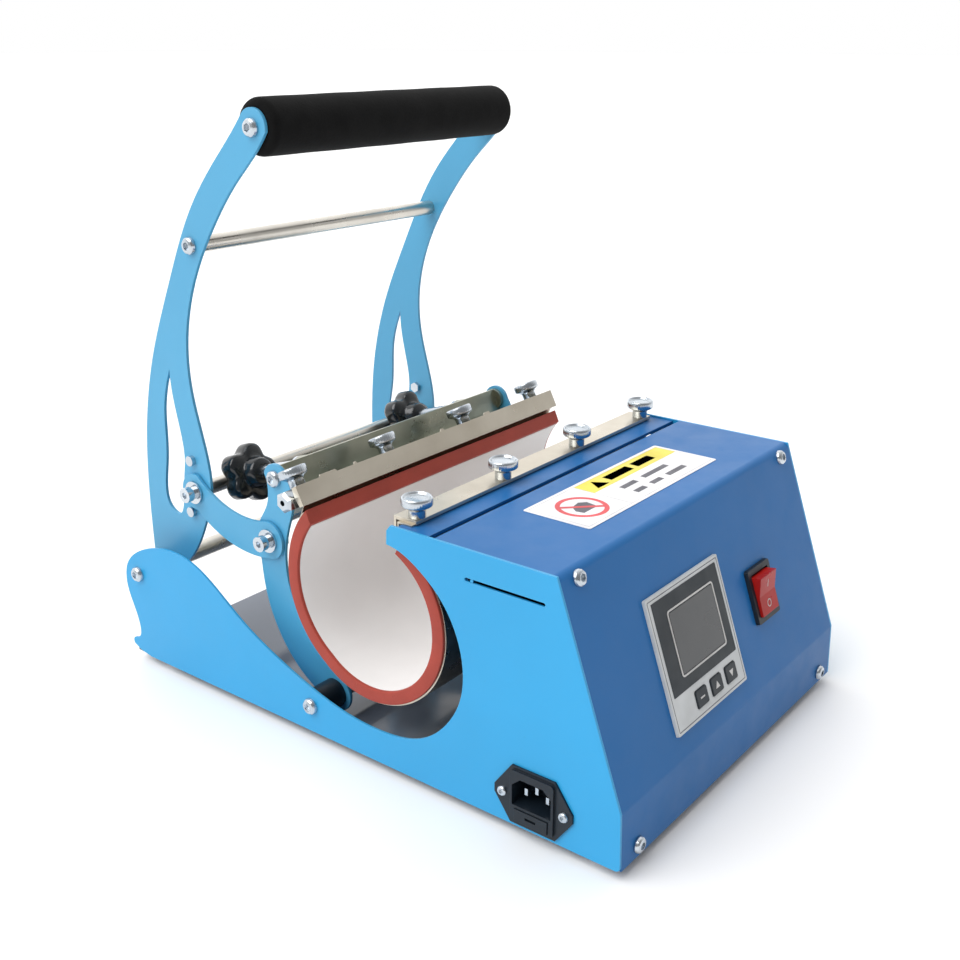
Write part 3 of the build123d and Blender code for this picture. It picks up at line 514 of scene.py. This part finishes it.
heater_layers = (("liner", 0.0, SHEET, HEATER_HALF - SHEET_INSET, 0.1, "liner_cloth", SHEET_SET_BACK),
                 ("pad", SHEET, LINER + PAD, HEATER_HALF, 0.6, "red_silicone", 0.0))
for part, inner, outer, half, corner, slot, set_back in heater_layers:
    places = heater_places(set_back)
    for place, body in (("fixed", "base"), ("bend", None), ("moving", "cradle")):
        piece = layer(f"heater_{part}_{place}_mat", places[place], inner, outer, half, corner, RIPPLE)
        stood_for = {"fixed": [f"heater_{part}_fixed"], "moving": [f"heater_{part}_moving"],
                     "bend": ["heater_pad_flex"]}[place]
        dress(piece, slot, body, stood_for)
        if place == "bend":
            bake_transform(piece)
band_bend = layer("heater_band_bend", along_bend(), LINER + PAD, LINER + PAD + BAND,
                  HEATER_HALF - BAND_INSET, 0.2, 0.0)
dress(band_bend, "stainless", None, ["heater_band_flex"])
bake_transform(band_bend)

# ---- foam grip ---------------------------------------------------------------------------------
GRIP_ROUND, GRIP_SWELL = 5.0, 0.25   # the tube's end rounding, and room for its swell inside the radius


def grip_profile():
    """Radius and position along the foam tube: soft round ends and a faint swell."""
    low = GRIP_RADIUS - GRIP_SWELL - GRIP_ROUND
    shoulder = GRIP_HALF - GRIP_ROUND
    end = [(low + GRIP_ROUND * math.sin(math.radians(15 * i)),
            shoulder + GRIP_ROUND * math.cos(math.radians(15 * i))) for i in range(7)]
    points = [(HANDLE_ROD, -GRIP_HALF + 0.6)] + [(radius, -x) for radius, x in end]
    for i in range(1, 24):
        share = i / 24
        swell = 0.12 * math.sin(math.pi * share) + 0.08 * math.sin(9.0 * share * math.pi)
        points.append((GRIP_RADIUS - GRIP_SWELL + swell, (2.0 * share - 1.0) * shoulder))
    return points + list(reversed(end)) + [(HANDLE_ROD, GRIP_HALF - 0.6)]


grip = lathe("foam_grip", at(0, *HANDLE), (1, 0, 0), grip_profile(), 64)
dress(grip, "foam_grip", "lever", ["handle_grip"])

# ---- thumb screws ------------------------------------------------------------------------------
KNURLS, KNURL_DEPTH = 36, 0.06


def knurl(turn, radius, height):
    """Fine grooves round the rim of a thumb screw's head."""
    if radius < 8.9 or not 7.3 < height < 11.2:
        return radius
    return radius + KNURL_DEPTH * math.cos(KNURLS * turn)


THUMB_PROFILE = [(0.5, 0.0), (4.8, 0.0), (5.0, 0.3), (5.0, 4.2), (5.3, 4.9), (6.4, 5.7), (7.7, 6.3),
                 (8.5, 6.8), (8.95, 7.4), (8.95, 9.2), (8.95, 11.1), (8.6, 11.7), (8.1, 12.0),
                 (7.7, 11.8), (7.3, 11.1), (6.9, 10.6), (6.3, 10.4), (0.5, 10.3)]


def thumb_screws(name, body, node, seat, axis):
    """A row of thumb screws at the clamp's places."""
    heads = [lathe(f"{name}_{i}", at(x, *seat), axis, THUMB_PROFILE, KNURLS * 4, knurl)
             for i, x in enumerate(THUMB_X)]
    row = sharpen(join(name, heads), 50.0)
    return dress(row, "zinc", body, [node])


lean = math.radians(CLAMP_LEAN)


def clamp_point(back, drop):
    """A point of the moving clamp's leaning frame, from its top front corner."""
    return (CLAMP_CORNER[0] + back * math.cos(lean) - drop * math.sin(lean),
            CLAMP_CORNER[1] - back * math.sin(lean) - drop * math.cos(lean))


moving_seat = clamp_point(BAR_BACK, BAR_TOP)
thumb_screws("thumb_screws_fixed_row", "base", "fixed_thumb_screws", FIXED_THUMB, (0, 0, 1))
thumb_screws("thumb_screws_moving_row", "cradle", "moving_thumb_screws", moving_seat,
             (0, math.sin(lean), math.cos(lean)))

# ---- pressure knobs ----------------------------------------------------------------------------
LOBES, LOBE_DEPTH = 5, 4.4
HUB_RADIUS, HUB_START = 9.0, 14.0


def lobed(turn, radius, height):
    """A five-lobed star, deepest at the rim, that fades into a round hub."""
    depth = min(1.0, max(0.0, (radius - HUB_RADIUS) / 8.0))
    if height > HUB_START:
        depth = 0.0
    wave = 0.5 + 0.5 * math.cos(LOBES * turn)
    return radius - depth * LOBE_DEPTH * (1.0 - wave) ** 1.5


KNOB_PROFILE = [(4.2, 0.6), (9.0, 0.4), (14.0, 0.0), (17.4, 0.2), (18.9, 0.9), (19.8, 2.2), (20.1, 4.0),
                (20.1, 9.4), (19.8, 11.2), (18.9, 12.5), (17.4, 13.2), (14.0, 13.5), (11.6, 13.8),
                (10.6, 14.3), (10.2, 16.0), (9.4, 19.6), (8.8, 21.2), (7.8, 21.9), (4.2, 22.0)]
stud = math.radians(STUD_LEAN)
forward = Vector((0, -math.cos(stud), math.sin(stud)))
for name, side in (("left", -1), ("right", 1)):
    rear = at(side * KNOB_X, *KNOB_CENTRE) - forward * (11.0 * MM)
    knob = sharpen(lathe(f"star_knob_{name}", rear, forward, KNOB_PROFILE, 100, lobed), 60.0)
    dress(knob, "knob_black", f"knob_{name}", [f"pressure_knob_{name}"])

# ---- clamp tabs and vent clip ------------------------------------------------------------------
TAB_HEIGHT, TAB_THICKNESS = 2.2, 0.8
TAB_PLACES = ((-99.5, 15.0), (-75.7, 3.0), (8.6, 4.0), (57.6, 7.0))     # across the clamp, and width
TAB_AHEAD = 7.6                  # from the hexagonal bar's middle to the tabs


def tab_outline(width):
    """A small folded tab with cut corners."""
    half, cut = width / 2, min(1.0, width / 4)
    return [(-half, 0.0), (half, 0.0), (half, 1.4), (half - cut, TAB_HEIGHT), (-half + cut, TAB_HEIGHT),
            (-half, 1.4)]


clamp_up = Vector((0, math.sin(lean), math.cos(lean)))
clamp_back = Vector((0, math.cos(lean), -math.sin(lean)))
tab_foot = BAR_TOP + 2.0
tab_stretch = tab_foot + 1.6
tabs = [plate(f"clamp_tab_{i}", at(x, *clamp_point(BAR_BACK - TAB_AHEAD, tab_foot)), Vector((1, 0, 0)),
              clamp_up, clamp_back, [(a, b * tab_stretch / TAB_HEIGHT) for a, b in tab_outline(width)],
              TAB_THICKNESS)
        for i, (x, width) in enumerate(TAB_PLACES)]
dress(join("clamp_tabs", tabs), "stainless", "cradle")
VENT_AT, VENT_WIDTH = (-98.3, 143.8), 2.2
CLIP_WIDTH, CLIP_THICKNESS, CLIP_INSET = 1.8, 0.9, 1.1
side_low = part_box("side_plate_left")[0]
clip_foot = Vector((side_low[0] + CLIP_INSET * MM, 0, 0)) + at(0, *VENT_AT)
clip = plate("vent_clip", clip_foot, Vector((0, 1, 0)), Vector((0, 0, 1)), Vector((-1, 0, 0)),
             rounded_rectangle(CLIP_WIDTH, VENT_WIDTH - 0.2, 0.6), CLIP_THICKNESS)
dress(clip, "side_blue", "base")

# ---- printed label -----------------------------------------------------------------------------
X_AXIS, Y_AXIS, Z_AXIS = Vector((1, 0, 0)), Vector((0, 1, 0)), Vector((0, 0, 1))
label_low, label_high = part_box("caution_label")
label_centre = Vector(((label_low[0] + label_high[0]) / 2, (label_low[1] + label_high[1]) / 2, label_high[2]))
INK = 0.04                       # the print's thickness
SIGN, SIGN_OUTER, SIGN_INNER = (-48.0, -1.0), 15.5, 12.6
SLASH_LENGTH, SLASH_WIDTH = 13.0, 1.3       # halves of each


def label_print(name, outline, material):
    """One printed area of the label."""
    piece = plate(name, label_centre, X_AXIS, Y_AXIS, Z_AXIS, outline, INK)
    return dress(piece, "label_film", "base", (), material)


def bar(left, right, low, high):
    """The corners of an upright rectangle."""
    return [(left, low), (right, low), (right, high), (left, high)]


def circle(centre, radius, steps=48):
    """Points round a circle."""
    return [(centre[0] + radius * math.cos(2 * math.pi * i / steps),
             centre[1] + radius * math.sin(2 * math.pi * i / steps)) for i in range(steps)]


label_print("label_header", bar(-25.0, 70.0, 5.5, 20.0), print_yellow)
label_print("label_triangle", [(-17.0, 8.0), (-4.5, 8.0), (-10.8, 17.6)], print_grey)
ring = frame_plate("label_ring", label_centre, X_AXIS, Y_AXIS, Z_AXIS, circle(SIGN, SIGN_OUTER),
                   circle(SIGN, SIGN_INNER), INK)
dress(ring, "label_film", "base", (), print_red)
turn = math.radians(-45)
slash = [(SIGN[0] + a * math.cos(turn) - b * math.sin(turn),
          SIGN[1] + a * math.sin(turn) + b * math.cos(turn))
         for a, b in bar(-SLASH_LENGTH, SLASH_LENGTH, -SLASH_WIDTH, SLASH_WIDTH)]
slash_piece = plate("label_slash", label_centre + Z_AXIS * (INK * MM), X_AXIS, Y_AXIS, Z_AXIS, slash, INK)
dress(slash_piece, "label_film", "base", (), print_red)
label_print("label_pictogram", [(-55.0, -7.0), (-41.5, -7.0), (-40.0, 1.0), (-44.0, 4.5), (-52.0, 3.0),
                                (-56.0, -2.0)], print_grey)
border = frame_plate("label_border", label_centre, X_AXIS, Y_AXIS, Z_AXIS,
                     rounded_rectangle(141.0, 40.6, 0.8), rounded_rectangle(140.2, 39.8, 0.6), INK)
dress(border, "label_film", "base", (), print_pale)
label_print("label_divider", bar(-25.6, -25.0, -20.0, 20.0), print_pale)
for row, (low, words) in enumerate(((-5.0, ((-8, 8), (16, 44))), (-14.5, ((-8, 3), (10, 22), (29, 50))))):
    for i, (left, right) in enumerate(words):
        label_print(f"label_line_{row}_{i}", bar(left, right, low + 0.4, low + 4.4), print_grey)
for i, (left, right) in enumerate(((0.0, 26.0), (31.0, 52.0))):
    label_print(f"label_header_line_{i}", bar(left, right, 9.4, 16.2), print_grey)

# ---- controller and switch ---------------------------------------------------------------------
down = Vector((0, FOOT_FOLD[0] - TOP_FOLD[0], FOOT_FOLD[1] - TOP_FOLD[1])).normalized()
panel_up = -down
panel_out = Vector((0, down.z, -down.y))
panel_origin = at(0, *TOP_FOLD)


def on_panel(x, up, depth):
    """A point on the sloping panel: across, up from the top fold, and outward."""
    return panel_origin + (X_AXIS * x + panel_up * up + panel_out * depth) * MM


BEZEL_AT, BEZEL_HEIGHT = (-29.4, -75.3), 1.8
SCREEN_AT, SCREEN = (-27.0, -67.7), (52.0, 38.8)
KEY_ROW, KEY_TOP = -103.6, 2.7
screen_rim = frame_plate("screen_rim", on_panel(*SCREEN_AT, BEZEL_HEIGHT + 0.15), X_AXIS, panel_up, panel_out,
                         rounded_rectangle(SCREEN[0], SCREEN[1], 2.2),
                         rounded_rectangle(SCREEN[0] - 2.0, SCREEN[1] - 2.0, 1.4), 0.35)
dress(screen_rim, "controller_silver", "base", (), print_pale)
bezel_line = frame_plate("bezel_line", on_panel(*BEZEL_AT, BEZEL_HEIGHT), X_AXIS, panel_up, panel_out,
                         rounded_rectangle(78.6, 75.2, 0.8), rounded_rectangle(77.8, 74.4, 0.6), 0.08)
dress(bezel_line, "controller_silver", "base", (), print_grey)
for name, x in (("left", -39.6), ("middle", -22.1), ("right", -4.6)):
    key_top = on_panel(x, KEY_ROW, KEY_TOP)
    shapes = {"left": bar(-2.4, 2.4, -0.5, 0.5), "middle": [(-2.4, -1.8), (2.4, -1.8), (0.0, 2.2)],
              "right": [(-2.4, 1.8), (0.0, -2.2), (2.4, 1.8)]}
    mark = plate(f"key_mark_{name}", key_top, X_AXIS, panel_up, panel_out, shapes[name], 0.06)
    dress(mark, "controller_silver", f"key_{name}", (), print_pale)

SWITCH_AT, ROCKER_LEAN = (53.6, -74.7), math.radians(10.0)
ROCKER_RISE, ROCKER_HALF, ROCKER_WAIST = 1.8, 12.3, 4.6
MARK_AT = 6.4                    # from the rocker's middle to each mark
rocker_up = panel_up * math.cos(ROCKER_LEAN) + panel_out * math.sin(ROCKER_LEAN)
rocker_out = panel_out * math.cos(ROCKER_LEAN) - panel_up * math.sin(ROCKER_LEAN)
face_lean = math.atan2(ROCKER_RISE, ROCKER_HALF)
pivot = on_panel(*SWITCH_AT, 0.0)
for name, sign_up in (("off", -1), ("on", 1)):
    slope_up = rocker_up * math.cos(face_lean) + rocker_out * (sign_up * math.sin(face_lean))
    slope_out = rocker_out * math.cos(face_lean) - rocker_up * (sign_up * math.sin(face_lean))
    height = ROCKER_WAIST + MARK_AT * math.tan(face_lean) + 0.02
    spot = pivot + (rocker_up * (sign_up * MARK_AT) + rocker_out * height) * MM
    if name == "off":
        mark = frame_plate("rocker_mark_off", spot, X_AXIS, slope_up, slope_out, circle((0, 0), 2.5, 32),
                           circle((0, 0), 1.9, 32), 0.05)
    else:
        mark = plate("rocker_mark_on", spot, X_AXIS, slope_up, slope_out, bar(-0.35, 0.35, -2.4, 2.4), 0.05)
    dress(mark, "red_rocker", "rocker", (), print_pale)


# ---- studio ------------------------------------------------------------------------------------
CAMERA_AZIMUTH, CAMERA_HEIGHT = -52.18, 20.06
CAMERA_DISTANCE, CAMERA_LENS, SENSOR = 0.7892, 45.41, 36.0
CAMERA_TARGET = at(0, 0, 139.4)
KEY_AZIMUTH, KEY_ELEVATION, KEY_STRENGTH, KEY_SPREAD = -112, 52, 2.0, 50.0
BACK_LIGHT = (150, 12)           # azimuth and elevation of the surround's bright side
DIM_SIDE, BRIGHT_SIDE = 0.30, 1.40


def direction(azimuth, elevation):
    """The direction towards a viewer; azimuth 0 is in front of the panel, -90 on the left."""
    a, e = math.radians(azimuth), math.radians(elevation)
    return Vector((math.sin(a) * math.cos(e), -math.cos(a) * math.cos(e), math.sin(e)))


def add_camera():
    """The camera at the photographed three-quarter view."""
    lens = bpy.data.cameras.new("camera")
    lens.lens, lens.sensor_width = CAMERA_LENS, SENSOR
    camera = bpy.data.objects.new("camera", lens)
    back = direction(CAMERA_AZIMUTH, CAMERA_HEIGHT)
    camera.location = CAMERA_TARGET + back * CAMERA_DISTANCE
    camera.rotation_euler = back.to_track_quat("Z", "Y").to_euler()
    bpy.context.scene.collection.objects.link(camera)
    bpy.context.scene.camera = camera


def add_sun(name, azimuth, elevation, strength, spread):
    """A soft distant light that falls evenly on the machine and the floor."""
    lamp = bpy.data.lights.new(name, "SUN")
    lamp.energy, lamp.angle = strength, math.radians(spread)
    sun = bpy.data.objects.new(name, lamp)
    sun.rotation_euler = direction(azimuth, elevation).to_track_quat("Z", "Y").to_euler()
    bpy.context.scene.collection.objects.link(sun)


def add_floor():
    """A wide pale floor."""
    half = 30.0
    floor = mesh_object("floor", [(-half, -half, 0), (half, -half, 0), (half, half, 0), (-half, half, 0)],
                        [(0, 1, 2, 3)], smooth=False)
    look = Look("floor_paint_white", 0.6)
    shade = look.mix(look.noise(3.0, 2.0), (0.93, 0.93, 0.93), (0.96, 0.96, 0.96))
    floor.data.materials.append(look.finish(shade))


def add_world():
    """A white surround, whose light is stronger from behind the machine than from the camera's side."""
    world = bpy.data.worlds.new("studio")
    world.use_nodes = True
    tree = world.node_tree
    background = tree.nodes["Background"]
    background.inputs["Color"].default_value = (1.0, 1.0, 1.0, 1.0)
    coordinates = tree.nodes.new("ShaderNodeTexCoord").outputs["Generated"]
    facing = tree.nodes.new("ShaderNodeVectorMath")
    facing.operation = "DOT_PRODUCT"
    facing.inputs[1].default_value = direction(*BACK_LIGHT)
    tree.links.new(coordinates, facing.inputs[0])
    fade = tree.nodes.new("ShaderNodeMapRange")
    for key, number in (("From Min", -0.5), ("From Max", 0.8), ("To Min", DIM_SIDE), ("To Max", BRIGHT_SIDE)):
        fade.inputs[key].default_value = number
    tree.links.new(facing.outputs["Value"], fade.inputs["Value"])
    seen = tree.nodes.new("ShaderNodeMix")
    seen.inputs["B"].default_value = 1.0
    tree.links.new(tree.nodes.new("ShaderNodeLightPath").outputs["Is Camera Ray"], seen.inputs["Factor"])
    tree.links.new(fade.outputs["Result"], seen.inputs["A"])
    tree.links.new(seen.outputs["Result"], background.inputs["Strength"])
    bpy.context.scene.world = world


add_camera()
add_world()
add_floor()
add_sun("key_light", KEY_AZIMUTH, KEY_ELEVATION, KEY_STRENGTH, KEY_SPREAD)
bpy.context.scene.view_settings.view_transform = "Standard"
